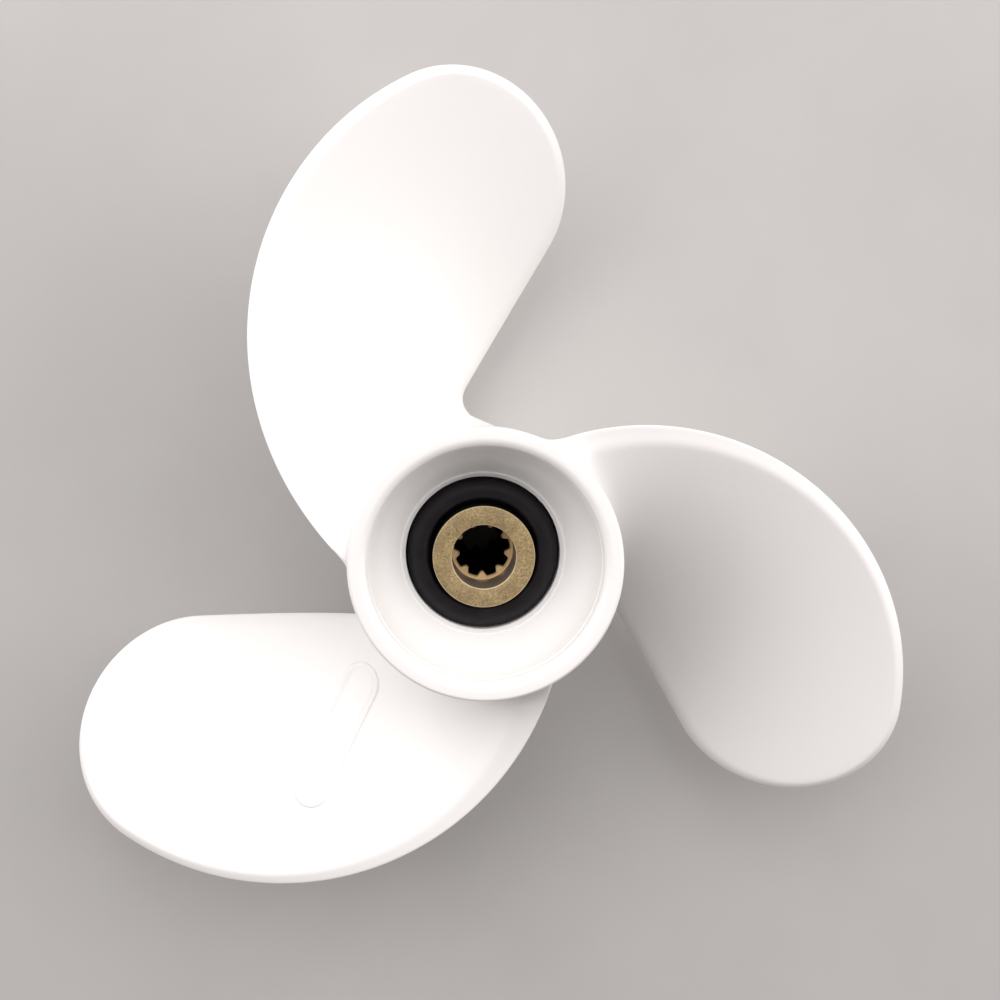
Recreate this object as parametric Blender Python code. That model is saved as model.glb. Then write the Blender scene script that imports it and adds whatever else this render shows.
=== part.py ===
"""Three-bladed propeller of a small outboard engine, with its rubber drive bush.

The shaft axis is +Z. The propeller stands on the rear end of its hub, at z = 0, with the open
front end of the hub up. The casting, the rubber bush and the splined sleeve are separate solids.
"""
from math import acos, atan2, cos, pi, radians, sin, sqrt

import bmesh
import bpy
from mathutils import Matrix, Vector
from mathutils.bvhtree import BVHTree

MM = 0.001

# Running clearance between pieces that touch
CLEARANCE = 0.3 * MM

# Splined sleeve, from its bore outwards
TOOTH_COUNT = 9
SPLINE_MINOR_RADIUS = 4.6 * MM
TOOTH_HEIGHT = 1.05 * MM
TOOTH_TIP_HALF_ANGLE = radians(5.5)
TOOTH_FOOT_HALF_ANGLE = radians(10.5)
FIRST_TOOTH_ANGLE = radians(-90)
COUNTERBORE_LEDGE = 0.6 * MM
COUNTERBORE_DEPTH = 10.0 * MM
SLEEVE_WALL = 3.75 * MM
SLEEVE_CHAMFER = 0.4 * MM
SLEEVE_FRONT_STANDOUT = 4.0 * MM
SLEEVE_REAR_STANDOUT = 5.0 * MM

# Rubber bush
RUBBER_WALL = 4.7 * MM
RUBBER_LENGTH = 35.0 * MM
RUBBER_BEAD = 1.6 * MM
RUBBER_GROOVE_DEPTH = 2.4 * MM

# Hub of the casting
REAR_LIP = 7.7 * MM
SHOULDER_WIDTH = 2.8 * MM
LAND_WIDTH = 0.7 * MM
BOWL_DEPTH = 15.0 * MM
BOWL_FLARE = 6.2 * MM
BOWL_BULGE = 1.1 * MM
RIM_WIDTH = 3.7 * MM
RIM_INNER_ROUND = 1.8 * MM
RIM_OUTER_ROUND = 1.1 * MM
REAR_WALL = 3.7 * MM
REAR_ROUND = 1.5 * MM
HUB_TAPER_POWER = 1.7

# Blades
BLADE_COUNT = 3
FIRST_BLADE_ANGLE = radians(110)
PROPELLER_DIAMETER = 190.5 * MM
PITCH = 178.0 * MM
BLADE_SETBACK = 28.0 * MM
RAKE_SLOPE = 0.36
RAKE_RADIUS = 58.0 * MM
TIP_ROUND = 22.2 * MM
TIP_ANGLE = radians(-17.1)
LEADING_JOIN_ANGLE = radians(6.9)
LEADING_ROOT_ANGLE = radians(70.8)
TRAILING_ROOT_ANGLE = radians(-5.4)
ROOT_THICKNESS = 6.0 * MM
TIP_THICKNESS = 2.8 * MM
EDGE_THICKNESS = 2.2 * MM
EDGE_ROUND = 3.0 * MM
EDGE_NOSE = 0.5 * MM
EDGE_NOSE_SHARE = 0.22
FRONT_SHARE = 0.62
TRAILING_FLARE = 13.0 * MM
TRAILING_FLARE_REACH = 10.5 * MM
LEADING_SINK = 2.0 * MM
MIDDLE_SINK = 5.5 * MM
TRAILING_SINK = 4.0 * MM
ROOT_FILLET = 5.0 * MM
ROOT_FILLET_RUN_OUT = 10.0 * MM

# Fineness of the mesh
SHARP_ANGLE = radians(35)
TURN_STEPS = 64
ROUND_STEPS = 4
SIDE_COLUMNS = 18
SIDE_COLUMN_POWER = 1.4
TIP_COLUMNS = 14
EDGE_ROW_SHARES = (0.0, 0.03, 0.17, 0.55, 1.0)
MIDDLE_ROWS = 4
ROOT_SEARCH_STEPS = 6
FILLET_ROUNDS = 5
SEAM_REACH = 2.0 * MM
SEAM_SMOOTHING = 4
SEAM_SMOOTHING_SHARE = 0.5
LEAST_LENGTH = 0.001 * MM
LEAST_ANGLE = radians(0.01)
TAPER_STEPS = 16
BOWL_STEPS = 5

# Sizes that follow from the ones above
SPLINE_MAJOR_RADIUS = SPLINE_MINOR_RADIUS + TOOTH_HEIGHT
COUNTERBORE_RADIUS = SPLINE_MAJOR_RADIUS + COUNTERBORE_LEDGE
SLEEVE_RADIUS = COUNTERBORE_RADIUS + SLEEVE_WALL
RUBBER_INNER_RADIUS = SLEEVE_RADIUS + CLEARANCE
RUBBER_RADIUS = RUBBER_INNER_RADIUS + RUBBER_WALL
HUB_BORE_RADIUS = RUBBER_RADIUS + CLEARANCE
REAR_HOLE_RADIUS = HUB_BORE_RADIUS - SHOULDER_WIDTH
LAND_RADIUS = HUB_BORE_RADIUS + LAND_WIDTH
MOUTH_RADIUS = LAND_RADIUS + BOWL_FLARE
HUB_FRONT_RADIUS = MOUTH_RADIUS + RIM_WIDTH
HUB_REAR_RADIUS = HUB_BORE_RADIUS + REAR_WALL

RUBBER_REAR_Z = REAR_LIP + CLEARANCE
RUBBER_FRONT_Z = RUBBER_REAR_Z + RUBBER_LENGTH
SLEEVE_REAR_Z = RUBBER_REAR_Z - SLEEVE_REAR_STANDOUT
SLEEVE_FRONT_Z = RUBBER_FRONT_Z + SLEEVE_FRONT_STANDOUT
HUB_LENGTH = RUBBER_FRONT_Z + BOWL_DEPTH
BLADE_Z = HUB_LENGTH - BLADE_SETBACK
TIP_RADIUS = PROPELLER_DIAMETER / 2


def material(name, colour, roughness, metallic):
    """A plain finish for one piece."""
    finish = bpy.data.materials.new(name)
    finish.use_nodes = True
    shader = finish.node_tree.nodes["Principled BSDF"]
    shader.inputs["Base Color"].default_value = (*colour, 1.0)
    shader.inputs["Roughness"].default_value = roughness
    shader.inputs["Metallic"].default_value = metallic
    return finish


def add_object(name, shape, finish=None):
    """Turn a finished bmesh into a smooth-shaded object on the shaft axis."""
    bmesh.ops.recalc_face_normals(shape, faces=shape.faces)
    mesh = bpy.data.meshes.new(name)
    shape.to_mesh(mesh)
    shape.free()
    mesh.shade_smooth()
    mesh.set_sharp_from_angle(angle=SHARP_ANGLE)
    piece = bpy.data.objects.new(name, mesh)
    if finish:
        mesh.materials.append(finish)
    bpy.context.scene.collection.objects.link(piece)
    return piece


def arc(centre, radius, start, end, steps=ROUND_STEPS):
    """Points along a circular arc in the (radius, z) plane, ends included."""
    turns = [start + (end - start) * i / steps for i in range(steps + 1)]
    return [(centre[0] + radius * cos(turn), centre[1] + radius * sin(turn)) for turn in turns]


def turned(profile, steps=TURN_STEPS):
    """Revolve a closed profile of (radius, z) points about the shaft axis."""
    shape = bmesh.new()
    corners = [shape.verts.new((radius, 0.0, z)) for radius, z in profile]
    edges = [shape.edges.new((a, b)) for a, b in zip(corners, corners[1:] + corners[:1])]
    bmesh.ops.spin(shape, geom=corners + edges, cent=(0, 0, 0), axis=(0, 0, 1),
                   angle=2 * pi, steps=steps, use_merge=True)
    return shape


def bridged(rings):
    """Join rings of equally many points, the last one back to the first."""
    shape = bmesh.new()
    loops = [[shape.verts.new(point) for point in ring] for ring in rings]
    for here, there in zip(loops, loops[1:] + loops[:1]):
        for i, corner in enumerate(here):
            j = (i + 1) % len(here)
            shape.faces.new((corner, here[j], there[j], there[i]))
    return shape


def spline_turns():
    """Angle and radius of the points round the toothed bore, eight for each tooth."""
    spacing = 2 * pi / TOOTH_COUNT
    flat = spacing - 2 * TOOTH_FOOT_HALF_ANGLE
    tooth = [(-TOOTH_FOOT_HALF_ANGLE, SPLINE_MAJOR_RADIUS),
             (-TOOTH_TIP_HALF_ANGLE, SPLINE_MINOR_RADIUS),
             (0.0, SPLINE_MINOR_RADIUS),
             (TOOTH_TIP_HALF_ANGLE, SPLINE_MINOR_RADIUS)]
    tooth += [(TOOTH_FOOT_HALF_ANGLE + flat * i / 4, SPLINE_MAJOR_RADIUS) for i in range(4)]
    starts = [FIRST_TOOTH_ANGLE + spacing * i for i in range(TOOTH_COUNT)]
    return [(start + turn, radius) for start in starts for turn, radius in tooth]


def splined_sleeve():
    """Bronze sleeve: plain outside, counterbored at the front, toothed behind it."""
    turns = spline_turns()

    def circle(radius, z):
        return [(radius * cos(turn), radius * sin(turn), z) for turn, _ in turns]

    def teeth(z):
        return [(radius * cos(turn), radius * sin(turn), z) for turn, radius in turns]

    chamfer = SLEEVE_CHAMFER
    rings = [circle(SLEEVE_RADIUS - chamfer, SLEEVE_REAR_Z),
             circle(SLEEVE_RADIUS, SLEEVE_REAR_Z + chamfer),
             circle(SLEEVE_RADIUS, SLEEVE_FRONT_Z - chamfer),
             circle(SLEEVE_RADIUS - chamfer, SLEEVE_FRONT_Z),
             circle(COUNTERBORE_RADIUS + chamfer, SLEEVE_FRONT_Z),
             circle(COUNTERBORE_RADIUS, SLEEVE_FRONT_Z - chamfer),
             circle(COUNTERBORE_RADIUS, SLEEVE_FRONT_Z - COUNTERBORE_DEPTH),
             teeth(SLEEVE_FRONT_Z - COUNTERBORE_DEPTH),
             teeth(SLEEVE_REAR_Z)]
    bronze = material("sintered_bronze", (0.35, 0.25, 0.13), 0.45, 0.9)
    return add_object("splined_sleeve", bridged(rings), bronze)


def rubber_bush():
    """Rubber ring with a rounded outer bead and a groove round the sleeve at each end."""
    middle = (RUBBER_INNER_RADIUS + RUBBER_RADIUS) / 2
    front = arc((RUBBER_RADIUS - RUBBER_BEAD, RUBBER_FRONT_Z - RUBBER_BEAD), RUBBER_BEAD, pi / 2, 0)
    rear = arc((RUBBER_RADIUS - RUBBER_BEAD, RUBBER_REAR_Z + RUBBER_BEAD), RUBBER_BEAD, 0, -pi / 2)
    profile = [(RUBBER_INNER_RADIUS, RUBBER_FRONT_Z - RUBBER_GROOVE_DEPTH),
               (middle, RUBBER_FRONT_Z), *front, *rear,
               (middle, RUBBER_REAR_Z),
               (RUBBER_INNER_RADIUS, RUBBER_REAR_Z + RUBBER_GROOVE_DEPTH)]
    black = material("black_rubber", (0.012, 0.012, 0.014), 0.75, 0.0)
    return add_object("rubber_bush", turned(profile), black)


def hub_radius(z):
    """Outer radius of the hub: full at the front, drawn in towards the rear."""
    drop = min(max((HUB_LENGTH - z) / HUB_LENGTH, 0.0), 1.0)
    return HUB_FRONT_RADIUS - (HUB_FRONT_RADIUS - HUB_REAR_RADIUS) * drop ** HUB_TAPER_POWER


def hub_profile():
    """Section of the hub wall: rim, tapered outside, rear end, stepped bore and front bowl."""
    inner = (MOUTH_RADIUS + RIM_INNER_ROUND, HUB_LENGTH - RIM_INNER_ROUND)
    outer = (HUB_FRONT_RADIUS - RIM_OUTER_ROUND, HUB_LENGTH - RIM_OUTER_ROUND)
    profile = arc(inner, RIM_INNER_ROUND, pi, pi / 2)
    profile += arc(outer, RIM_OUTER_ROUND, pi / 2, 0)
    for i in range(1, TAPER_STEPS):
        z = outer[1] + (REAR_ROUND - outer[1]) * i / TAPER_STEPS
        profile.append((hub_radius(z), z))
    profile += arc((hub_radius(REAR_ROUND) - REAR_ROUND, REAR_ROUND), REAR_ROUND, 0, -pi / 2)
    profile += [(REAR_HOLE_RADIUS, 0.0), (REAR_HOLE_RADIUS, REAR_LIP), (HUB_BORE_RADIUS, REAR_LIP),
                (HUB_BORE_RADIUS, RUBBER_FRONT_Z - LAND_WIDTH), (LAND_RADIUS, RUBBER_FRONT_Z)]
    for i in range(1, BOWL_STEPS):
        share = i / BOWL_STEPS
        bulge = BOWL_BULGE * 4 * share * (1 - share)
        radius = LAND_RADIUS + (MOUTH_RADIUS - LAND_RADIUS) * share + bulge
        profile.append((radius, RUBBER_FRONT_Z + (inner[1] - RUBBER_FRONT_Z) * share))
    return profile


def heading(turn):
    """Unit vector in the plane square to the shaft."""
    return Vector((cos(turn), sin(turn)))


def share_left(distance, reach):
    """1 at no distance, falling to 0 at the reach and past it."""
    return 1.0 - min(max(distance, 0.0), reach) / reach


class BladeOutline:
    """Edge of a blade seen along the shaft: leading arc, round tip and straight trailing edge.

    The leading arc starts at its root on the hub and meets the tip circle at the join angle. The
    trailing edge is the tangent from its own root to the same circle. Angles are measured from the
    blade's reference line, and the leading edge is on the positive side.
    """

    def __init__(self):
        self.tip = heading(TIP_ANGLE) * (TIP_RADIUS - TIP_ROUND)
        towards = heading(LEADING_JOIN_ANGLE)
        join = self.tip + towards * TIP_ROUND
        span = join - heading(LEADING_ROOT_ANGLE) * HUB_FRONT_RADIUS
        self.sweep = span.length_squared / (2 * towards.dot(span))
        self.centre = join - towards * self.sweep
        self.join_radius = join.length

        back = heading(TRAILING_ROOT_ANGLE) * HUB_FRONT_RADIUS - self.tip
        opening = acos(TIP_ROUND / back.length)
        self.trailing_turn = atan2(back.y, back.x) + opening - 2 * pi
        self.trailing = heading(self.trailing_turn)
        end = self.tip + self.trailing * TIP_ROUND
        self.trailing_offset = self.trailing.dot(end)
        self.end_radius = end.length

    @staticmethod
    def crossing(centre, round_radius, radius):
        """Angle from a circle's own direction to where a circle about the shaft cuts it."""
        reach = centre.length
        share = (radius ** 2 + reach ** 2 - round_radius ** 2) / (2 * radius * reach)
        return acos(min(max(share, -1.0), 1.0))

    def leading_edge(self, radius):
        """Angle of the leading edge at one radius."""
        if radius > self.join_radius:
            return TIP_ANGLE + self.crossing(self.tip, TIP_ROUND, radius)
        radius = max(radius, HUB_FRONT_RADIUS)
        centre_turn = atan2(self.centre.y, self.centre.x)
        return centre_turn + self.crossing(self.centre, self.sweep, radius)

    def trailing_edge(self, radius):
        """Angle of the trailing edge at one radius."""
        if radius > self.end_radius:
            return TIP_ANGLE - self.crossing(self.tip, TIP_ROUND, radius)
        radius = max(radius, HUB_FRONT_RADIUS)
        return self.trailing_turn + acos(self.trailing_offset / radius)

    def edge_shares(self, point):
        """How much of the thickness is left near the edge, on the front face and on the rear.

        The front face has a flat bevel along the leading edge, which fades out round the tip. The
        rear face and the trailing edge are rounded.
        """
        arm = point - self.tip
        arm_turn = atan2(arm.y, arm.x)
        leading = self.sweep - (point - self.centre).length
        trailing = self.trailing_offset - self.trailing.dot(point)
        bevelled = 1.0 if leading < trailing else 0.0
        if self.trailing_turn < arm_turn < LEADING_JOIN_ANGLE:
            leading = trailing = TIP_ROUND - arm.length
            bevelled = (arm_turn - self.trailing_turn) / (LEADING_JOIN_ANGLE - self.trailing_turn)
        depth = max(min(leading, trailing), 0.0)
        rounded = sqrt(1.0 - share_left(depth, EDGE_ROUND) ** 2)
        nose = sqrt(1.0 - share_left(depth, EDGE_NOSE) ** 2)
        bevel = EDGE_NOSE_SHARE * nose + (1.0 - EDGE_NOSE_SHARE) * (1.0 - share_left(depth, EDGE_ROUND))
        return rounded + (bevel - rounded) * bevelled, rounded

    def columns(self):
        """Pairs of points: one on the edge, and the one on the blade's middle line that it faces.

        They go up the leading edge, round the tip and down the trailing edge, closest together at
        the root, which lies inside the hub wall.
        """
        middle_turn = (LEADING_ROOT_ANGLE + TRAILING_ROOT_ANGLE) / 2
        root = heading(middle_turn) * sunk_radius(middle_turn, MIDDLE_SINK)
        shares = [(i / SIDE_COLUMNS) ** SIDE_COLUMN_POWER for i in range(SIDE_COLUMNS + 1)]
        columns = []
        start = sunk_radius(LEADING_ROOT_ANGLE, LEADING_SINK)
        for share in shares[:-1]:
            radius = start + (self.join_radius - start) * share
            columns.append((heading(self.leading_edge(radius)) * radius, root.lerp(self.tip, share)))
        for i in range(TIP_COLUMNS):
            turn = LEADING_JOIN_ANGLE + (self.trailing_turn - LEADING_JOIN_ANGLE) * i / TIP_COLUMNS
            columns.append((self.tip + heading(turn) * TIP_ROUND, self.tip))
        start = sunk_radius(TRAILING_ROOT_ANGLE, TRAILING_SINK)
        for share in reversed(shares):
            radius = start + (self.end_radius - start) * share
            columns.append((heading(self.trailing_edge(radius)) * radius, root.lerp(self.tip, share)))
        return columns


def pitch_z(radius, turn):
    """Height of the blade's pitch surface, before the blade gets its thickness."""
    return BLADE_Z + PITCH * turn / (2 * pi) + RAKE_SLOPE * (radius - RAKE_RADIUS)


def sunk_radius(turn, sink):
    """Radius that a blade starts from in one direction, some way inside the hub wall."""
    radius = HUB_FRONT_RADIUS
    for _ in range(ROOT_SEARCH_STEPS):
        radius = hub_radius(pitch_z(radius, turn))
    return radius - sink


def blade_point(outline, point, side):
    """Where a point of the flat outline lies on the front (1) or rear (-1) face of the blade.

    The thickness is laid off square to the pitch line on the cylinder through the point.
    """
    radius = point.length
    turn = atan2(point.y, point.x)
    ahead, behind = outline.leading_edge(radius), outline.trailing_edge(radius)
    place = min(max((ahead - turn) / max(ahead - behind, LEAST_ANGLE), 0.0), 1.0)
    out = (radius - HUB_REAR_RADIUS) / (TIP_RADIUS - HUB_REAR_RADIUS)
    body = ROOT_THICKNESS + (TIP_THICKNESS - ROOT_THICKNESS) * out
    swell = EDGE_THICKNESS + (body - EDGE_THICKNESS) * 4 * place * (1 - place)
    front, rear = outline.edge_shares(heading(turn) * max(radius, HUB_FRONT_RADIUS))
    lift = swell * (FRONT_SHARE * front if side > 0 else (FRONT_SHARE - 1) * rear)
    slope = atan2(PITCH, 2 * pi * radius)
    z = pitch_z(radius, turn)
    flare = TRAILING_FLARE * share_left(radius - hub_radius(z), TRAILING_FLARE_REACH) ** 2
    turn -= (place ** 2 * flare + lift * sin(slope)) / radius
    return Vector((radius * cos(turn), radius * sin(turn), z + lift * cos(slope)))


def blade():
    """One blade as a closed shape on its reference line, its root inside the hub wall.

    Its faces are a grid folded round the edge: from the middle line of the rear face, over the
    edge, to the middle line of the front face.
    """
    outline = BladeOutline()
    columns = outline.columns()
    shape = bmesh.new()
    rows = []
    last_row = len(EDGE_ROW_SHARES) + MIDDLE_ROWS - 1
    for row in range(-last_row, last_row + 1):
        side = -1 if row < 0 else 1
        line = []
        for rim, middle in columns:
            reach = (middle - rim).length
            shares = [EDGE_ROUND * share / reach for share in EDGE_ROW_SHARES]
            rest = (1.0 - shares[-1]) / MIDDLE_ROWS
            shares += [shares[-1] + rest * (i + 1) for i in range(MIDDLE_ROWS)]
            place = blade_point(outline, rim.lerp(middle, shares[abs(row)]), side)
            line.append(shape.verts.new(place))
        rows.append(line)
    for here, there in zip(rows, rows[1:]):
        for i in range(len(columns) - 1):
            shape.faces.new((here[i], here[i + 1], there[i + 1], there[i]))
    for column in (0, -1):
        root = [row[column] for row in rows]
        for i in range(last_row):
            front = root[last_row + i:last_row + i + 2]
            rear = root[last_row - i - 1:last_row - i + 1]
            shape.faces.new(list(dict.fromkeys(front + rear)))
    bmesh.ops.remove_doubles(shape, verts=shape.verts, dist=LEAST_LENGTH)
    return shape


def gap_to(surface, place):
    """Distance of a point from a bare surface, and the direction straight away from it."""
    near, normal, _, gap = surface.find_nearest(place)
    away = place - near
    return gap, away / gap if gap > LEAST_LENGTH else normal


def filleted(place, hub, blade_surface):
    """Where a point of the hub or a blade lies once the corner between the two is filled.

    The fillet is the rounded sum of the distances from the bare hub and the bare blade. It is full
    along the root and runs out towards the rim.
    """
    run_out = share_left(HUB_LENGTH - place.z, ROOT_FILLET_RUN_OUT)
    reach = ROOT_FILLET * (1.0 - run_out) + LEAST_LENGTH
    for _ in range(FILLET_ROUNDS):
        hub_gap, hub_way = gap_to(hub, place)
        blade_gap, blade_way = gap_to(blade_surface, place)
        share = share_left(abs(hub_gap - blade_gap), reach)
        short = share ** 2 * reach / 4 - min(hub_gap, blade_gap)
        if hub_gap < blade_gap:
            way = hub_way.lerp(blade_way, share / 2)
        else:
            way = blade_way.lerp(hub_way, share / 2)
        place = place + way * (short / way.length_squared)
    return place


def propeller_casting():
    """Hub and blades in one aluminium casting, with a fillet round each blade root."""
    paint = material("white_paint", (0.86, 0.85, 0.84), 0.28, 0.0)
    bare_hub = turned(hub_profile())
    hub_surface = BVHTree.FromBMesh(bare_hub)
    joined = add_object("propeller_casting", bare_hub, paint)
    blade_surfaces = []
    tools = []
    for i in range(BLADE_COUNT):
        shape = blade()
        turn = FIRST_BLADE_ANGLE + 2 * pi * i / BLADE_COUNT
        bmesh.ops.rotate(shape, verts=shape.verts, cent=(0, 0, 0), matrix=Matrix.Rotation(turn, 3, "Z"))
        bmesh.ops.recalc_face_normals(shape, faces=shape.faces)
        blade_surfaces.append(BVHTree.FromBMesh(shape))
        tools.append(add_object(f"blade_tool_{i + 1}", shape))
        union = joined.modifiers.new(f"blade_{i + 1}", "BOOLEAN")
        union.operation = "UNION"
        union.solver = "EXACT"
        union.object = tools[-1]

    shape = bmesh.new()
    shape.from_object(joined, bpy.context.evaluated_depsgraph_get())
    for item in (joined, *tools):
        bpy.data.objects.remove(item, do_unlink=True)
    seam = []
    for corner in shape.verts:
        radius = corner.co.xy.length
        inside = radius < hub_radius(corner.co.z) - RIM_OUTER_ROUND
        if inside or radius > HUB_FRONT_RADIUS + ROOT_FILLET:
            continue
        nearest = min(blade_surfaces, key=lambda surface: gap_to(surface, corner.co)[0])
        if max(gap_to(surface, corner.co)[0] for surface in (hub_surface, nearest)) < SEAM_REACH:
            seam.append(corner)
        corner.co = filleted(corner.co, hub_surface, nearest)
    for _ in range(SEAM_SMOOTHING):
        bmesh.ops.smooth_vert(shape, verts=seam, factor=SEAM_SMOOTHING_SHARE,
                              use_axis_x=True, use_axis_y=True, use_axis_z=True)
    return add_object("propeller_casting", shape, paint)


for item in list(bpy.data.objects):
    bpy.data.objects.remove(item, do_unlink=True)

splined_sleeve()
rubber_bush()
propeller_casting()
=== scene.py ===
from math import acos, atan2, cos, hypot, pi, radians, sin, sqrt

import bmesh
import bpy
from mathutils import Matrix, Vector
from mathutils.bvhtree import BVHTree


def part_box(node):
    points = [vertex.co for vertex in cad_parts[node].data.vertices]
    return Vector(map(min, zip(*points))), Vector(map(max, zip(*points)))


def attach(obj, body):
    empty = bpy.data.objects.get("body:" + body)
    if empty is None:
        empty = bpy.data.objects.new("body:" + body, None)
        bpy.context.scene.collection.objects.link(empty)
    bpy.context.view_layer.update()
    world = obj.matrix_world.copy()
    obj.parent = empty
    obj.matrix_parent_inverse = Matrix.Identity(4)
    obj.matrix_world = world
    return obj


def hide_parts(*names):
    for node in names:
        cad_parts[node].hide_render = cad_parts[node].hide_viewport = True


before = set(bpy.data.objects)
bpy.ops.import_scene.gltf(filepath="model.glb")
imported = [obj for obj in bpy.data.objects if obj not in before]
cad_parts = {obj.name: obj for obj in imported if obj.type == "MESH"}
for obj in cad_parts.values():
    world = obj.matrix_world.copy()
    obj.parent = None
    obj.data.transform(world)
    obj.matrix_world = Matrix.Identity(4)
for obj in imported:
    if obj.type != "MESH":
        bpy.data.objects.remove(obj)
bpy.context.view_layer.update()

# Splined sleeve
# A short tube of sintered bronze that slides over the engine's propeller shaft and is turned by its
# nine spline teeth. It is pressed from powder, which leaves a speckled, slightly porous skin, and
# its ends and counterbore are then machined. A painted highlight brightens its front edges and the
# ledge, and the bore and the outside near the front are painted black as shade.
MM = 0.001
SLEEVE_EDGE = 0.2 * MM
COUNTERBORE_RADIUS = 6.25 * MM
COUNTERBORE_DEPTH = 10.0 * MM
TOOTH_COUNT = 9
TOOTH_TIP_RADIUS = 4.6 * MM
TOOTH_FOOT_RADIUS = 5.65 * MM
TOOTH_TIP_HALF_ANGLE = radians(2.8)
TOOTH_FOOT_HALF_ANGLE = radians(11.8)
FIRST_TOOTH_ANGLE = radians(-90)
TOOTH_EDGE = 0.25 * MM
POINTS_PER_TOOTH = 48
EDGE_STEPS = 3
SLEEVE_SMOOTH_ANGLE = radians(32)
MERGE_DISTANCE = 0.001 * MM
BRONZE_OLIVE = (0.40, 0.33, 0.145, 1.0)
BRONZE_RUDDY = (0.62, 0.44, 0.255, 1.0)
BRONZE_DULL = (0.29, 0.21, 0.12, 1.0)
BRONZE_PORE = (0.25, 0.19, 0.10, 1.0)
# Bright bronze for the glints and for the painted highlight on the front edges; gold for the painted
# highlight on the ledge
BRONZE_HIGHLIGHT = (0.80, 0.65, 0.42, 1.0)
LEDGE_HIGHLIGHT_GOLD = (0.98, 0.74, 0.42, 1.0)
WALL_BROWN = (0.31, 0.25, 0.20, 1.0)
# Painted shade: near black for the bore below the ledge and for the outside of the sleeve near its
# front, and where the bore's shade starts
SHADE_BLACK = (0.008, 0.007, 0.006, 1.0)
BORE_SHADE_START = (0.3 * MM, 1.5 * MM)
# Heights of the painted highlight band along the front edges
EDGE_HIGHLIGHT_TOP = 0.2 * SLEEVE_EDGE
EDGE_HIGHLIGHT_FOOT = 0.6 * SLEEVE_EDGE
WALL_SKIN = 0.5 * SLEEVE_EDGE
# How far down from the front the outside of the sleeve is painted black as shade, and the fade at its
# foot
OUTSIDE_SHADE_DEPTH = 8.0 * MM
OUTSIDE_SHADE_FADE = 1.0 * MM
BRONZE_METALLIC = 0.7
BRONZE_ROUGHNESS = 0.52
GLINT_ROUGHNESS = 0.36
PATINA_STRENGTH = 0.5

# Each grain: grains to the metre, detail, and the noise values at which its mask is 0 and 1.
# Each relief: strength of the bump, and its depth
GRAIN_ROUGHNESS = 0.6
STAIN_GRAIN = (2000.0, 4.0, 0.38, 0.62)
PORE_GRAIN = (3200.0, 2.0, 0.47, 0.33)
GLINT_GRAIN = (3000.0, 2.0, 0.64, 0.74)
PATINA_GRAIN = (190.0, 2.0, 0.38, 0.62)
PORE_RELIEF = (0.35, 0.03 * MM)

sleeve_low, sleeve_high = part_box("splined_sleeve")
SLEEVE_RADIUS = sleeve_high[0]
SLEEVE_REAR_Z = sleeve_low[2]
SLEEVE_FRONT_Z = sleeve_high[2]


def clear_selection():
    """Leave object mode with nothing selected, so that an operator meets only the new piece."""
    if bpy.context.object and bpy.context.object.mode != "OBJECT":
        bpy.ops.object.mode_set(mode="OBJECT")
    bpy.ops.object.select_all(action="DESELECT")


def arc(centre, radius, start, end, steps):
    """Points along a circular arc in the (radius, z) plane, ends included."""
    turns = [start + (end - start) * i / steps for i in range(steps + 1)]
    return [(centre[0] + radius * cos(turn), centre[1] + radius * sin(turn)) for turn in turns]


def smooth_step(value, low, high):
    """0 below low, 1 above high, and an S-shaped rise between them."""
    share = min(max((value - low) / (high - low), 0.0), 1.0)
    return share * share * (3.0 - 2.0 * share)


def close_and_smooth(angle):
    """Merge the new piece's doubles, turn its faces outwards and shade it smooth up to an angle."""
    bpy.ops.object.mode_set(mode="EDIT")
    bpy.ops.mesh.select_all(action="SELECT")
    bpy.ops.mesh.remove_doubles(threshold=MERGE_DISTANCE)
    bpy.ops.mesh.normals_make_consistent(inside=False)
    bpy.ops.object.mode_set(mode="OBJECT")
    bpy.ops.object.shade_smooth_by_angle(angle=angle)


def tooth_radius(turn):
    """Radius of the toothed bore in one direction."""
    spacing = 2 * pi / TOOTH_COUNT
    off = abs((turn - FIRST_TOOTH_ANGLE + spacing / 2) % spacing - spacing / 2)
    share = smooth_step(off, TOOTH_TIP_HALF_ANGLE, TOOTH_FOOT_HALF_ANGLE)
    return TOOTH_TIP_RADIUS + (TOOTH_FOOT_RADIUS - TOOTH_TIP_RADIUS) * share


def extrude_ring(mesh, radius, z):
    """Extrude the selected ring of edges and move the new ring to its radius and height."""
    bpy.ops.mesh.extrude_edges_move()
    shape = bmesh.from_edit_mesh(mesh)
    for corner in shape.verts:
        if corner.select:
            turn = atan2(corner.co.y, corner.co.x)
            reach = radius(turn) if callable(radius) else radius
            corner.co = (reach * cos(turn), reach * sin(turn), z)
    bmesh.update_edit_mesh(mesh)


# The sleeve is drawn ring by ring: up the outside, over the front, and down through the toothed bore
ledge_z = SLEEVE_FRONT_Z - COUNTERBORE_DEPTH
rear_edge = (SLEEVE_RADIUS - SLEEVE_EDGE, SLEEVE_REAR_Z + SLEEVE_EDGE)
front_edge = (SLEEVE_RADIUS - SLEEVE_EDGE, SLEEVE_FRONT_Z - SLEEVE_EDGE)
mouth_edge = (COUNTERBORE_RADIUS + SLEEVE_EDGE, SLEEVE_FRONT_Z - SLEEVE_EDGE)
sleeve_rings = arc(rear_edge, SLEEVE_EDGE, -pi / 2, 0, EDGE_STEPS)
sleeve_rings += arc(front_edge, SLEEVE_EDGE, 0, pi / 2, EDGE_STEPS)
sleeve_rings += arc(mouth_edge, SLEEVE_EDGE, pi / 2, pi, EDGE_STEPS)
sleeve_rings += [(COUNTERBORE_RADIUS, ledge_z),
                 (lambda turn: tooth_radius(turn) + TOOTH_EDGE, ledge_z),
                 (tooth_radius, ledge_z - TOOTH_EDGE),
                 (tooth_radius, SLEEVE_REAR_Z)]

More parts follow.
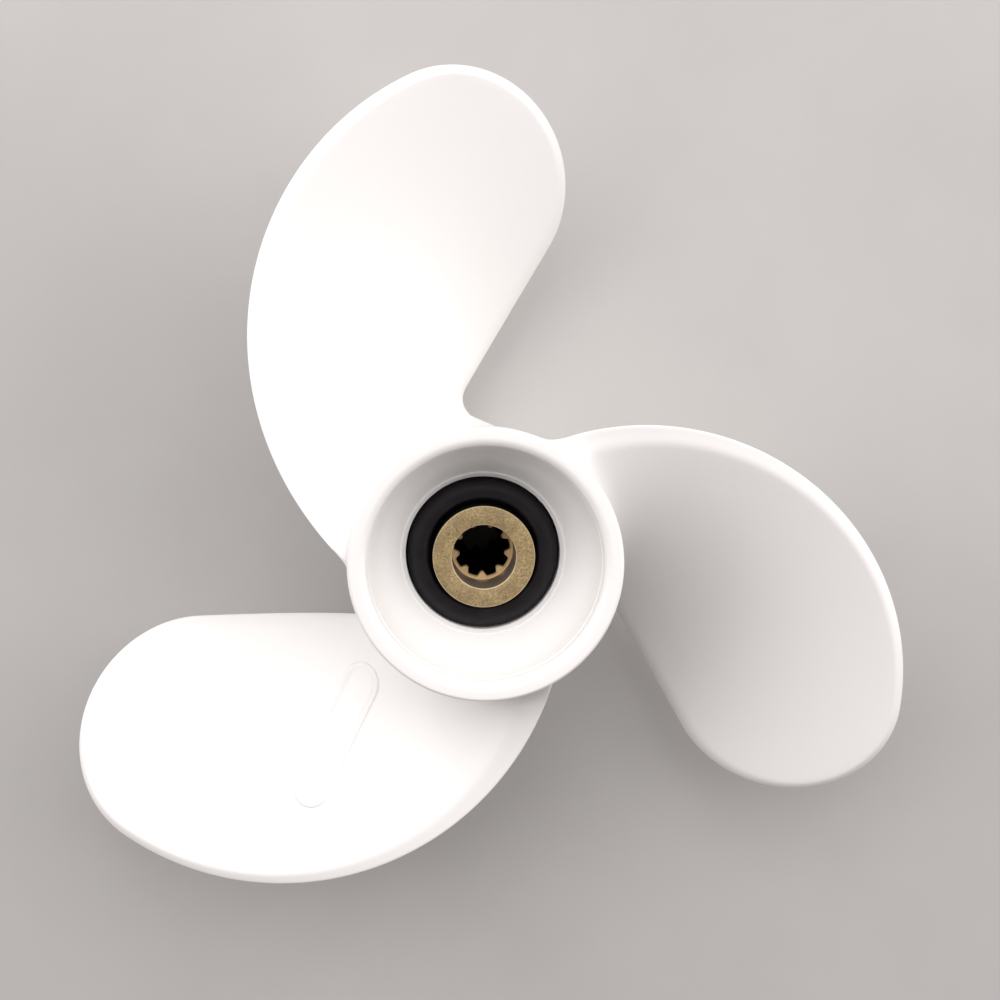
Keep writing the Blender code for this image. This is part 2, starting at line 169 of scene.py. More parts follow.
clear_selection()
bpy.ops.mesh.primitive_circle_add(vertices=TOOTH_COUNT * POINTS_PER_TOOTH, radius=sleeve_rings[0][0],
                                  location=(0, 0, 0), fill_type="NOTHING")
sleeve = bpy.context.active_object
sleeve.name = "bronze_sleeve"
for corner in sleeve.data.vertices:
    corner.co.z = sleeve_rings[0][1]
bpy.ops.object.mode_set(mode="EDIT")
bpy.ops.mesh.select_all(action="SELECT")
for radius, z in sleeve_rings[1:]:
    extrude_ring(sleeve.data, radius, z)
bpy.ops.mesh.select_all(action="SELECT")
bpy.ops.mesh.region_to_loop()
bpy.ops.mesh.bridge_edge_loops()
bpy.ops.object.mode_set(mode="OBJECT")
close_and_smooth(SLEEVE_SMOOTH_ANGLE)


def grain_group():
    """Fine random grain, as a height and a mask, at a given number of grains to the metre."""
    group = bpy.data.node_groups.new("surface grain", "ShaderNodeTree")
    for name in ("Grains", "Detail", "Low", "High"):
        group.interface.new_socket(name, in_out="INPUT", socket_type="NodeSocketFloat")
    for name in ("Height", "Mask"):
        group.interface.new_socket(name, in_out="OUTPUT", socket_type="NodeSocketFloat")
    nodes, links = group.nodes, group.links
    given = nodes.new("NodeGroupInput")
    place = nodes.new("ShaderNodeTexCoord")
    noise = nodes.new("ShaderNodeTexNoise")
    noise.inputs["Roughness"].default_value = GRAIN_ROUGHNESS
    ramp = nodes.new("ShaderNodeMapRange")
    ramp.interpolation_type = "SMOOTHSTEP"
    result = nodes.new("NodeGroupOutput")
    links.new(place.outputs["Object"], noise.inputs["Vector"])
    links.new(given.outputs["Grains"], noise.inputs["Scale"])
    links.new(given.outputs["Detail"], noise.inputs["Detail"])
    links.new(noise.outputs["Fac"], ramp.inputs["Value"])
    links.new(given.outputs["Low"], ramp.inputs["From Min"])
    links.new(given.outputs["High"], ramp.inputs["From Max"])
    links.new(noise.outputs["Fac"], result.inputs["Height"])
    links.new(ramp.outputs["Result"], result.inputs["Mask"])
    return group


GRAIN = grain_group()


def new_finish(name):
    """A new material, its nodes and links, and its shader."""
    finish = bpy.data.materials.new(name)
    finish.use_nodes = True
    nodes, links = finish.node_tree.nodes, finish.node_tree.links
    return finish, nodes, links, nodes["Principled BSDF"]


def grain(nodes, grains, detail, low, high):
    """One use of the shared grain, with its own scale and limits."""
    node = nodes.new("ShaderNodeGroup")
    node.node_tree = GRAIN
    node.inputs["Grains"].default_value = grains
    node.inputs["Detail"].default_value = detail
    node.inputs["Low"].default_value = low
    node.inputs["High"].default_value = high
    return node


def colour_mix(nodes, links, mask, below, above):
    """Mix two colours, each a fixed colour or another node's output, by a mask."""
    mix = nodes.new("ShaderNodeMix")
    mix.data_type = "RGBA"
    links.new(mask, mix.inputs["Factor"])
    for socket, colour in ((mix.inputs["A"], below), (mix.inputs["B"], above)):
        if isinstance(colour, tuple):
            socket.default_value = colour
        else:
            links.new(colour, socket)
    return mix.outputs["Result"]


def value_range(nodes, links, source, low, high):
    """Stretch a 0 to 1 mask between two values."""
    stretch = nodes.new("ShaderNodeMapRange")
    stretch.inputs["To Min"].default_value = low
    stretch.inputs["To Max"].default_value = high
    links.new(source, stretch.inputs["Value"])
    return stretch.outputs["Result"]


def bump(nodes, links, height, strength, distance):
    """Small relief from a height."""
    relief = nodes.new("ShaderNodeBump")
    relief.inputs["Strength"].default_value = strength
    relief.inputs["Distance"].default_value = distance
    links.new(height, relief.inputs["Height"])
    return relief.outputs["Normal"]


def shaft_distance(nodes, links):
    """Distance from the shaft axis and height of the points on a surface."""
    place = nodes.new("ShaderNodeTexCoord")
    flat = nodes.new("ShaderNodeVectorMath")
    flat.operation = "MULTIPLY"
    flat.inputs[1].default_value = (1.0, 1.0, 0.0)
    reach = nodes.new("ShaderNodeVectorMath")
    reach.operation = "LENGTH"
    split = nodes.new("ShaderNodeSeparateXYZ")
    links.new(place.outputs["Object"], flat.inputs[0])
    links.new(flat.outputs["Vector"], reach.inputs[0])
    links.new(place.outputs["Object"], split.inputs["Vector"])
    return reach.outputs["Value"], split.outputs["Z"]


def rise(nodes, links, value, low, high):
    """Mask that is 0 where a value is at low or past it, and 1 at high. Low may be the larger one."""
    ramp = nodes.new("ShaderNodeMapRange")
    ramp.interpolation_type = "SMOOTHSTEP"
    ramp.inputs["From Min"].default_value = low
    ramp.inputs["From Max"].default_value = high
    links.new(value, ramp.inputs["Value"])
    return ramp.outputs["Result"]


def both(nodes, links, first, second):
    """Mask where two masks overlap."""
    product = nodes.new("ShaderNodeMath")
    product.operation = "MULTIPLY"
    links.new(first, product.inputs[0])
    links.new(second, product.inputs[1])
    return product.outputs["Value"]


def bronze_finish():
    """Speckled bronze with a brown counterbore wall, painted highlights on the front edges and the
    ledge, and painted shade in the bore.

    The outside of the sleeve is painted near black as shade where it stands out of the rubber.
    """
    finish, nodes, links, shader = new_finish("sintered bronze")
    stains = grain(nodes, *STAIN_GRAIN)
    pores = grain(nodes, *PORE_GRAIN)
    glints = grain(nodes, *GLINT_GRAIN)
    patina = grain(nodes, *PATINA_GRAIN)
    tone = colour_mix(nodes, links, stains.outputs["Mask"], BRONZE_OLIVE, BRONZE_RUDDY)
    dulling = value_range(nodes, links, patina.outputs["Mask"], 0.0, PATINA_STRENGTH)
    tone = colour_mix(nodes, links, dulling, tone, BRONZE_DULL)
    tone = colour_mix(nodes, links, pores.outputs["Mask"], tone, BRONZE_PORE)
    tone = colour_mix(nodes, links, glints.outputs["Mask"], tone, BRONZE_HIGHLIGHT)

    radius, height = shaft_distance(nodes, links)
    # Painted highlight: a bright band along the machined front edges, where they catch the light
    edge_foot = SLEEVE_FRONT_Z - SLEEVE_EDGE
    edge_highlight_mask = both(nodes, links,
                     rise(nodes, links, height, edge_foot, SLEEVE_FRONT_Z - EDGE_HIGHLIGHT_FOOT),
                     rise(nodes, links, height, SLEEVE_FRONT_Z, SLEEVE_FRONT_Z - EDGE_HIGHLIGHT_TOP))
    tone = colour_mix(nodes, links, edge_highlight_mask, tone, BRONZE_HIGHLIGHT)
    wall_mask = both(nodes, links,
                     rise(nodes, links, radius, COUNTERBORE_RADIUS + WALL_SKIN, COUNTERBORE_RADIUS),
                     rise(nodes, links, height, ledge_z, ledge_z + SLEEVE_EDGE))
    tone = colour_mix(nodes, links, wall_mask, tone, WALL_BROWN)
    # Painted highlight: the machined ledge at the foot of the counterbore is painted bright gold, as
    # where it catches the light
    ledge_highlight_mask = both(nodes, links,
                      rise(nodes, links, radius, COUNTERBORE_RADIUS + SLEEVE_EDGE, COUNTERBORE_RADIUS),
                      rise(nodes, links, height, ledge_z + SLEEVE_EDGE, ledge_z))
    tone = colour_mix(nodes, links, ledge_highlight_mask, tone, LEDGE_HIGHLIGHT_GOLD)
    # Painted shade: the toothed bore below the ledge is painted near black, as deep shadow
    bore_shade_mask = both(nodes, links,
                     rise(nodes, links, radius, COUNTERBORE_RADIUS, TOOTH_FOOT_RADIUS + SLEEVE_EDGE),
                     rise(nodes, links, height, ledge_z - BORE_SHADE_START[0], ledge_z - BORE_SHADE_START[1]))
    tone = colour_mix(nodes, links, bore_shade_mask, tone, SHADE_BLACK)
    # Painted shade: the outside of the sleeve near its front is painted near black, as shadow in the
    # gap by the rubber
    outside_shade_foot = SLEEVE_FRONT_Z - OUTSIDE_SHADE_DEPTH
    outside_shade_mask = both(nodes, links,
                     rise(nodes, links, radius, SLEEVE_RADIUS - WALL_SKIN, SLEEVE_RADIUS),
                     rise(nodes, links, height, outside_shade_foot, outside_shade_foot + OUTSIDE_SHADE_FADE))
    tone = colour_mix(nodes, links, outside_shade_mask, tone, SHADE_BLACK)

    links.new(tone, shader.inputs["Base Color"])
    links.new(value_range(nodes, links, glints.outputs["Mask"], BRONZE_ROUGHNESS, GLINT_ROUGHNESS),
              shader.inputs["Roughness"])
    links.new(bump(nodes, links, pores.outputs["Height"], *PORE_RELIEF), shader.inputs["Normal"])
    shader.inputs["Metallic"].default_value = BRONZE_METALLIC
    return finish


sleeve.data.materials.append(bronze_finish())
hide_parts("splined_sleeve")
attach(sleeve, "drive_bush")

# Rubber bush
# A ring of hard black rubber, moulded round the sleeve and pressed into the hub, which lets the
# blades slip if they strike something. Its ends have a rounded outer bead and a groove at the sleeve.
RUBBER_BEAD = 2.5 * MM
RUBBER_GROOVE_DEPTH = 2.2 * MM
RUBBER_GROOVE_POWER = 1.5
RUBBER_CROWN_SHARE = 0.5
RUBBER_STEPS = 12
RUBBER_SMOOTH_ANGLE = radians(40)
TURN_STEPS = 240
RUBBER_BLACK = (0.0058, 0.0046, 0.0068, 1.0)
RUBBER_DUSTY = (0.0135, 0.0108, 0.0148, 1.0)
RUBBER_ROUGHNESS = 0.5
DUST_ROUGHNESS = 0.7
RUBBER_SPECULAR = 0.3
DUST_GRAIN = (240.0, 5.0, 0.42, 0.72)
RUBBER_SKIN_GRAIN = (2200.0, 3.0, 0.3, 0.7)
RUBBER_SKIN_RELIEF = (0.35, 0.03 * MM)

rubber_low, rubber_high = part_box("rubber_bush")
RUBBER_RADIUS = rubber_high[0]
RUBBER_REAR_Z = rubber_low[2]
RUBBER_FRONT_Z = rubber_high[2]


def turned(name, profile):
    """Spin a closed profile of (radius, z) points once round the shaft."""
    clear_selection()
    bpy.ops.mesh.primitive_circle_add(vertices=len(profile), location=(0, 0, 0), fill_type="NOTHING")
    piece = bpy.context.active_object
    piece.name = name
    for corner, (radius, z) in zip(piece.data.vertices, profile):
        corner.co = (radius, 0.0, z)
    bpy.ops.object.mode_set(mode="EDIT")
    bpy.ops.mesh.select_all(action="SELECT")
    bpy.ops.mesh.spin(steps=TURN_STEPS, angle=2 * pi, center=(0, 0, 0), axis=(0, 0, 1))
    bpy.ops.object.mode_set(mode="OBJECT")
    return piece


def rubber_end(share):
    """Height lost at one end of the rubber, from the sleeve (0) out to where the bead starts (1)."""
    groove = (1.0 - smooth_step(share, 0.0, RUBBER_CROWN_SHARE)) ** RUBBER_GROOVE_POWER
    return RUBBER_GROOVE_DEPTH * groove


bead_radius = RUBBER_RADIUS - RUBBER_BEAD
shares = [i / RUBBER_STEPS for i in range(RUBBER_STEPS)]
face = [(SLEEVE_RADIUS + (bead_radius - SLEEVE_RADIUS) * share, rubber_end(share)) for share in shares]
rubber_profile = [(radius, RUBBER_FRONT_Z - drop) for radius, drop in face]
rubber_profile += arc((bead_radius, RUBBER_FRONT_Z - RUBBER_BEAD), RUBBER_BEAD, pi / 2, 0, RUBBER_STEPS)
rubber_profile += arc((bead_radius, RUBBER_REAR_Z + RUBBER_BEAD), RUBBER_BEAD, 0, -pi / 2, RUBBER_STEPS)
rubber_profile += [(radius, RUBBER_REAR_Z + drop) for radius, drop in reversed(face)]
rubber = turned("moulded_rubber_bush", rubber_profile)
close_and_smooth(RUBBER_SMOOTH_ANGLE)


def rubber_finish():
    """Black rubber with a fine moulded skin and patches of dull dust."""
    finish, nodes, links, shader = new_finish("moulded rubber")
    dust = grain(nodes, *DUST_GRAIN)
    skin = grain(nodes, *RUBBER_SKIN_GRAIN)
    links.new(colour_mix(nodes, links, dust.outputs["Mask"], RUBBER_BLACK, RUBBER_DUSTY),
              shader.inputs["Base Color"])
    links.new(value_range(nodes, links, dust.outputs["Mask"], RUBBER_ROUGHNESS, DUST_ROUGHNESS),
              shader.inputs["Roughness"])
    links.new(bump(nodes, links, skin.outputs["Height"], *RUBBER_SKIN_RELIEF), shader.inputs["Normal"])
    shader.inputs["Specular IOR Level"].default_value = RUBBER_SPECULAR
    return finish


rubber.data.materials.append(rubber_finish())
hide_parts("rubber_bush")
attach(rubber, "drive_bush")

# Propeller casting
# Hub and three blades, die-cast in one piece of aluminium and sprayed with white enamel. The hub is
# open at the front, where its bowl is turned out round the bush, and drawn in towards the rear. The
# blades are a right-hand screw and run into the hub with a fillet.
REAR_LIP = 7.7 * MM
REAR_HOLE_RADIUS = 12.5 * MM
REAR_ROUND = 1.5 * MM
HUB_BORE_RADIUS = 15.3 * MM
LAND_WIDTH = 0.7 * MM
LAND_STEP = 0.3 * MM
MOUTH_RADIUS = 22.2 * MM
MOUTH_STEP_DEPTH = 3.0 * MM
MOUTH_STEP = 0.1 * MM
BOWL_BULGE = 1.1 * MM
RIM_INNER_ROUND = 1.8 * MM
RIM_OUTER_ROUND = 0.7 * MM
HUB_FRONT_RADIUS = 25.9 * MM
HUB_REAR_RADIUS = 19.0 * MM
HUB_TAPER_POWER = 1.7
HUB_STEPS = 64
BOWL_STEPS = 16
ROUND_STEPS = 10
CASTING_SMOOTH_ANGLE = radians(40)

casting_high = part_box("propeller_casting")[1]
HUB_LENGTH = casting_high[2]
LAND_RADIUS = HUB_BORE_RADIUS + LAND_WIDTH


def hub_radius(z):
    """Outer radius of the hub: full at the front, drawn in towards the rear."""
    drop = min(max((HUB_LENGTH - z) / HUB_LENGTH, 0.0), 1.0)
    return HUB_FRONT_RADIUS - (HUB_FRONT_RADIUS - HUB_REAR_RADIUS) * drop ** HUB_TAPER_POWER


def hub_profile():
    """Section of the hub wall: rim, outside, rear end, stepped bore and front bowl."""
    outer = (HUB_FRONT_RADIUS - RIM_OUTER_ROUND, HUB_LENGTH - RIM_OUTER_ROUND)
    inner = (MOUTH_RADIUS + RIM_INNER_ROUND, HUB_LENGTH - RIM_INNER_ROUND)
    rear = (hub_radius(REAR_ROUND) - REAR_ROUND, REAR_ROUND)
    profile = arc(inner, RIM_INNER_ROUND, pi, pi / 2, ROUND_STEPS)
    profile += arc(outer, RIM_OUTER_ROUND, pi / 2, 0, ROUND_STEPS)
    for i in range(1, HUB_STEPS):
        z = outer[1] + (REAR_ROUND - outer[1]) * i / HUB_STEPS
        profile.append((hub_radius(z), z))
    profile += arc(rear, REAR_ROUND, 0, -pi / 2, ROUND_STEPS)
    profile += [(REAR_HOLE_RADIUS, 0.0), (REAR_HOLE_RADIUS, REAR_LIP), (HUB_BORE_RADIUS, REAR_LIP)]
    profile += [(HUB_BORE_RADIUS, RUBBER_FRONT_Z - LAND_WIDTH),
                (LAND_RADIUS, RUBBER_FRONT_Z),
                (LAND_RADIUS + LAND_STEP, RUBBER_FRONT_Z),
                (LAND_RADIUS + 2 * LAND_STEP, RUBBER_FRONT_Z + LAND_STEP)]
    low_radius, low_z = profile[-1]
    high_z = HUB_LENGTH - MOUTH_STEP_DEPTH
    for i in range(1, BOWL_STEPS + 1):
        share = i / BOWL_STEPS
        bulge = BOWL_BULGE * 4 * share * (1 - share)
        radius = low_radius + (MOUTH_RADIUS - MOUTH_STEP - low_radius) * share + bulge
        profile.append((radius, low_z + (high_z - low_z) * share))
    profile.append((MOUTH_RADIUS, high_z + MOUTH_STEP))
    return profile


casting = turned("painted_casting", hub_profile())
close_and_smooth(CASTING_SMOOTH_ANGLE)

# The blades: their angles are counted from each blade's own direction, a sink is how far a root starts
# inside the hub wall, and the front share of the thickness lies in front of the pitch surface
BLADE_COUNT = 3
FIRST_BLADE_ANGLE = radians(110)
TIP_RADIUS = 95.25 * MM
PITCH = 178.0 * MM
BLADE_Z = 30.0 * MM
RAKE_SLOPE = 0.36
RAKE_RADIUS = 58.0 * MM
TIP_ROUND = 22.2 * MM
TIP_ANGLE = radians(-17.1)
LEADING_JOIN_ANGLE = radians(6.9)
LEADING_ROOT_ANGLE = radians(70.8)
TRAILING_ROOT_ANGLE = radians(-5.4)
ROOT_THICKNESS = 6.0 * MM
TIP_THICKNESS = 2.8 * MM
EDGE_THICKNESS = 2.2 * MM
EDGE_ROUND = 3.0 * MM
EDGE_NOSE = 0.5 * MM
EDGE_NOSE_SHARE = 0.12
BEVEL_ROOT_WIDTH = 2.9 * MM
BEVEL_TIP_WIDTH = 1.4 * MM
BEVEL_SOFTNESS = 0.3
FRONT_SHARE = 0.62
LEAST_SPREAD = 0.001
TRAILING_FLARE = 13.0 * MM
TRAILING_FLARE_REACH = 10.5 * MM
LEADING_SINK = 2.0 * MM
MIDDLE_SINK = 5.5 * MM
TRAILING_SINK = 4.0 * MM
ROOT_SEARCH_STEPS = 5
SIDE_COLUMNS = 110
TIP_COLUMNS = 80
EDGE_ROWS_IN_MM = (0.0, 0.02, 0.08, 0.18, 0.32, 0.5, 0.9, 1.3, 1.7, 2.1, 2.5, 2.9, 3.4, 4.0, 4.6)
MIDDLE_ROWS = 12


def heading(turn):
    """Unit vector in the plane square to the shaft."""
    return Vector((cos(turn), sin(turn)))


# Outline of a blade seen along the shaft: a leading arc from its root on the hub to the round tip,
# and a straight trailing edge that leaves the tip circle at a tangent
tip_centre = heading(TIP_ANGLE) * (TIP_RADIUS - TIP_ROUND)
leading_join = tip_centre + heading(LEADING_JOIN_ANGLE) * TIP_ROUND
leading_root = heading(LEADING_ROOT_ANGLE) * HUB_FRONT_RADIUS
leading_span = leading_join - leading_root
leading_sweep = leading_span.length_squared / (2 * heading(LEADING_JOIN_ANGLE).dot(leading_span))
leading_centre = leading_join - heading(LEADING_JOIN_ANGLE) * leading_sweep
trailing_root = heading(TRAILING_ROOT_ANGLE) * HUB_FRONT_RADIUS
tip_to_root = trailing_root - tip_centre
tip_to_root_angle = atan2(tip_to_root.y, tip_to_root.x)
TRAILING_JOIN_ANGLE = tip_to_root_angle + acos(TIP_ROUND / tip_to_root.length) - 2 * pi
trailing_end = tip_centre + heading(TRAILING_JOIN_ANGLE) * TIP_ROUND
trailing_offset = heading(TRAILING_JOIN_ANGLE).dot(trailing_end)


def circle_crossing(centre, round_radius, radius):
    """Angle from a circle's own direction to where a circle about the shaft cuts it."""
    reach = centre.length
    share = (radius ** 2 + reach ** 2 - round_radius ** 2) / (2 * radius * reach)
    return acos(min(max(share, -1.0), 1.0))


def leading_turn(radius):
    """Angle of the leading edge at one radius."""
    if radius > leading_join.length:
        return TIP_ANGLE + circle_crossing(tip_centre, TIP_ROUND, radius)
    centre_turn = atan2(leading_centre.y, leading_centre.x)
    return centre_turn + circle_crossing(leading_centre, leading_sweep, max(radius, HUB_FRONT_RADIUS))


def trailing_turn(radius):
    """Angle of the trailing edge at one radius."""
    if radius > trailing_end.length:
        return TIP_ANGLE - circle_crossing(tip_centre, TIP_ROUND, radius)
    return TRAILING_JOIN_ANGLE + acos(trailing_offset / max(radius, HUB_FRONT_RADIUS))


def edge_shares(point):
    """How much of the thickness is left at a point near the edge, on the front face and on the rear.

    The front face has a soft bevel along the leading edge and round the tip, which narrows towards
    the tip and fades out before the trailing edge. The rear face and the trailing edge are rounded.
    """
    arm = point - tip_centre
    tip_turn = atan2(arm.y, arm.x)
    trailing = trailing_offset - heading(TRAILING_JOIN_ANGLE).dot(point)
    leading = leading_sweep - (point - leading_centre).length
    bevelled = 1.0
    if TRAILING_JOIN_ANGLE < tip_turn < LEADING_JOIN_ANGLE:
        leading = trailing = TIP_ROUND - arm.length
        bevelled = (tip_turn - TRAILING_JOIN_ANGLE) / (LEADING_JOIN_ANGLE - TRAILING_JOIN_ANGLE)
    elif trailing < leading:
        bevelled = 0.0
    depth = max(min(leading, trailing), 0.0)
    rounded = sqrt(1.0 - share_left(depth, EDGE_ROUND) ** 2)
    nose = sqrt(1.0 - share_left(depth, EDGE_NOSE) ** 2)
    out = (point.length - HUB_FRONT_RADIUS) / (TIP_RADIUS - HUB_FRONT_RADIUS)
    width = BEVEL_ROOT_WIDTH + (BEVEL_TIP_WIDTH - BEVEL_ROOT_WIDTH) * out
    bevel = EDGE_NOSE_SHARE * nose + (1.0 - EDGE_NOSE_SHARE) * soft_rise(depth / width)
    return rounded + (bevel - rounded) * bevelled, rounded


def soft_rise(share):
    """A straight rise from 0 to 1, with a rounded corner where it levels off."""
    if share < 1.0 - BEVEL_SOFTNESS:
        return share
    short = max(1.0 + BEVEL_SOFTNESS - share, 0.0)
    return 1.0 - short ** 2 / (4 * BEVEL_SOFTNESS)


def share_left(distance, reach):
    """1 at no distance, falling to 0 at the reach and past it."""
    return 1.0 - min(max(distance, 0.0), reach) / reach


def pitch_z(radius, turn):
    """Height of the blade's pitch surface."""
    return BLADE_Z + PITCH * turn / (2 * pi) + RAKE_SLOPE * (radius - RAKE_RADIUS)


def blade_point(point, side):
    """Where a point of the flat outline lies on the front (1) or rear (-1) face of the blade."""
    radius = point.length
    turn = atan2(point.y, point.x)
    ahead, behind = leading_turn(radius), trailing_turn(radius)
    place = min(max((ahead - turn) / max(ahead - behind, LEAST_SPREAD), 0.0), 1.0)
    out = (radius - HUB_REAR_RADIUS) / (TIP_RADIUS - HUB_REAR_RADIUS)
    body = ROOT_THICKNESS + (TIP_THICKNESS - ROOT_THICKNESS) * out
    swell = EDGE_THICKNESS + (body - EDGE_THICKNESS) * 4 * place * (1 - place)
    front, rear = edge_shares(heading(turn) * max(radius, HUB_FRONT_RADIUS))
    lift = swell * (FRONT_SHARE * front if side > 0 else (FRONT_SHARE - 1) * rear)
    slope = atan2(PITCH, 2 * pi * radius)
    z = pitch_z(radius, turn)
    flare = TRAILING_FLARE * share_left(radius - hub_radius(z), TRAILING_FLARE_REACH) ** 2
    turn -= (place ** 2 * flare + lift * sin(slope)) / radius
    return Vector((radius * cos(turn), radius * sin(turn), z + lift * cos(slope)))


def sunk_radius(turn, sink):
    """Radius that a blade starts from in one direction, some way inside the hub wall."""
    radius = HUB_FRONT_RADIUS
    for _ in range(ROOT_SEARCH_STEPS):
        radius = hub_radius(pitch_z(radius, turn))
    return radius - sink


def outline_columns():
    """Pairs of points: one on the edge of the blade, and the one on its middle line that it faces."""
    columns = []
    middle_turn = (LEADING_ROOT_ANGLE + TRAILING_ROOT_ANGLE) / 2
    root_middle = heading(middle_turn) * sunk_radius(middle_turn, MIDDLE_SINK)
    start = sunk_radius(LEADING_ROOT_ANGLE, LEADING_SINK)
    for i in range(SIDE_COLUMNS):
        share = i / SIDE_COLUMNS
        radius = start + (leading_join.length - start) * share
        columns.append((heading(leading_turn(radius)) * radius, root_middle.lerp(tip_centre, share)))
    for i in range(TIP_COLUMNS):
        turn = LEADING_JOIN_ANGLE + (TRAILING_JOIN_ANGLE - LEADING_JOIN_ANGLE) * i / TIP_COLUMNS
        columns.append((tip_centre + heading(turn) * TIP_ROUND, tip_centre))
    start = sunk_radius(TRAILING_ROOT_ANGLE, TRAILING_SINK)
    for i in range(SIDE_COLUMNS, -1, -1):
        share = i / SIDE_COLUMNS
        radius = start + (trailing_end.length - start) * share
        columns.append((heading(trailing_turn(radius)) * radius, root_middle.lerp(tip_centre, share)))
    return columns


def add_blade(name):
    """One blade: a grid folded round the edge of the outline, from the middle of one face to the other.

    Its two root ends, inside the hub wall, are capped with strips. The first strip at the edge is a
    triangle, because the front and rear rows meet there.
    """
    columns = outline_columns()
    rows = len(EDGE_ROWS_IN_MM) + MIDDLE_ROWS
    clear_selection()
    bpy.ops.mesh.primitive_grid_add(x_subdivisions=len(columns) - 1, y_subdivisions=2 * rows - 2,
                                    location=(0, 0, 0))
    piece = bpy.context.active_object
    piece.name = name
    corners = iter(piece.data.vertices)
    for row in range(1 - rows, rows):
        side = -1 if row < 0 else 1
        for rim, middle in columns:
            reach = (middle - rim).length
            offsets = [depth * MM / reach for depth in EDGE_ROWS_IN_MM]
            last = offsets[-1]
            offsets += [last + (1.0 - last) * i / MIDDLE_ROWS for i in range(1, MIDDLE_ROWS + 1)]
            next(corners).co = blade_point(rim.lerp(middle, offsets[abs(row)]), side)
    bpy.ops.object.mode_set(mode="EDIT")
    shape = bmesh.from_edit_mesh(piece.data)
    shape.verts.ensure_lookup_table()
    for column in (0, len(columns) - 1):
        root = [shape.verts[row * len(columns) + column] for row in range(2 * rows - 1)]
        for i in range(rows - 1):
            cap = root[rows - 1 + i:rows + 1 + i] + root[rows - 2 - i:rows - i]
            shape.faces.new(list(dict.fromkeys(cap)))
    bmesh.update_edit_mesh(piece.data)
    close_and_smooth(CASTING_SMOOTH_ANGLE)
    return piece


# The first blade is copied to each of the three places and joined to the hub. The bare shapes are kept
# for the fillets
first_blade = add_blade("blade")
bare_hub = BVHTree.FromObject(casting, bpy.context.evaluated_depsgraph_get())
bare_blades = []
for i in range(BLADE_COUNT):
    blade = first_blade.copy()
    blade.data = first_blade.data.copy()
    bpy.context.scene.collection.objects.link(blade)
    blade.data.transform(Matrix.Rotation(FIRST_BLADE_ANGLE + 2 * pi * i / BLADE_COUNT, 4, "Z"))
    bpy.context.view_layer.update()
    bare_blades.append(BVHTree.FromObject(blade, bpy.context.evaluated_depsgraph_get()))
    clear_selection()
    casting.select_set(True)
    bpy.context.view_layer.objects.active = casting
    union = casting.modifiers.new("blade", "BOOLEAN")
    union.operation = "UNION"
    union.solver = "MANIFOLD"
    union.object = blade
    bpy.ops.object.modifier_apply(modifier=union.name)
    bpy.data.objects.remove(blade, do_unlink=True)
bpy.data.objects.remove(first_blade, do_unlink=True)

# The fillets fade out towards the rim, and their seams and the noses of the leading edges are smoothed
FILLET_REACH = 4.5 * MM
FILLET_RIM_FADE = 10.0 * MM
FILLET_ROUNDS = 5
SEAM_REACH = 0.6 * MM
SEAM_MERGE = 0.1 * MM
SEAM_SMOOTHING = 8
SMOOTH_FACTOR = 0.5
NOSE_DEPTH = 10.0 * MM
NOSE_REACH = 3.5 * MM
NOSE_SMOOTHING = 24


def gap_to(shape, place):
    """Distance of a point from a bare shape, and the direction straight away from it."""
    near, normal, _, gap = shape.find_nearest(place)
    away = place - near
    return gap, away / gap if gap > MERGE_DISTANCE else normal


def fillet_move(place, blade):
    """How far a point near both hub and blade moves out, to lie on the fillet between them."""
    start = place.copy()
    reach = FILLET_REACH * smooth_step(HUB_LENGTH - place.z, 0.0, FILLET_RIM_FADE) + MERGE_DISTANCE
    for _ in range(FILLET_ROUNDS):
        hub_gap, hub_way = gap_to(bare_hub, place)
        blade_gap, blade_way = gap_to(blade, place)
        share = share_left(abs(hub_gap - blade_gap), reach)
        short = share ** 2 * reach / 4 - min(hub_gap, blade_gap)
        if hub_gap < blade_gap:
            way = hub_way.lerp(blade_way, share / 2)
        else:
            way = blade_way.lerp(hub_way, share / 2)
        place = place + way * (short / way.length_squared)
    return place - start


def root_gap(place):
    """The farther of a point's distances from the bare hub and from the nearest bare blade."""
    return max(gap_to(bare_hub, place)[0], min(gap_to(blade, place)[0] for blade in bare_blades))


def select_round_roots(reach, least_z=0.0):
    """Select the points on the outside of the hub that lie within reach of both hub and blade."""
    shape = bmesh.from_edit_mesh(casting.data)
    near = []
    for corner in shape.verts:
        radius = corner.co.xy.length
        outside = hub_radius(corner.co.z) - RIM_OUTER_ROUND < radius < HUB_FRONT_RADIUS + FILLET_REACH
        corner.select = outside and corner.co.z > least_z and root_gap(corner.co) < reach
        if corner.select:
            near.append((corner.index, corner.co.copy()))
    shape.select_flush_mode()
    bmesh.update_edit_mesh(casting.data)
    return near


# Round each blade root the seam is cleaned, every point near it is moved out on to the fillet, and then
# the seam and the nose are smoothed
bpy.ops.object.mode_set(mode="EDIT")
select_round_roots(SEAM_REACH)
bpy.ops.mesh.remove_doubles(threshold=SEAM_MERGE)
moves = []
for index, place in select_round_roots(FILLET_REACH):
    blade = min(bare_blades, key=lambda blade: gap_to(blade, place)[0])
    moves.append((index, fillet_move(place, blade)))
nose = select_round_roots(NOSE_REACH, HUB_LENGTH - NOSE_DEPTH)
seam = select_round_roots(SEAM_REACH)
shape = bmesh.from_edit_mesh(casting.data)
shape.verts.ensure_lookup_table()
for index, move in moves:
    shape.verts[index].co += move
for part, smoothing in ((seam, SEAM_SMOOTHING), (nose, NOSE_SMOOTHING)):
    for corner in shape.verts:
        corner.select = False
    for index, _ in part:
        shape.verts[index].select = True
    shape.select_flush_mode()
    bmesh.update_edit_mesh(casting.data)
    bpy.ops.mesh.vertices_smooth(factor=SMOOTH_FACTOR, repeat=smoothing)
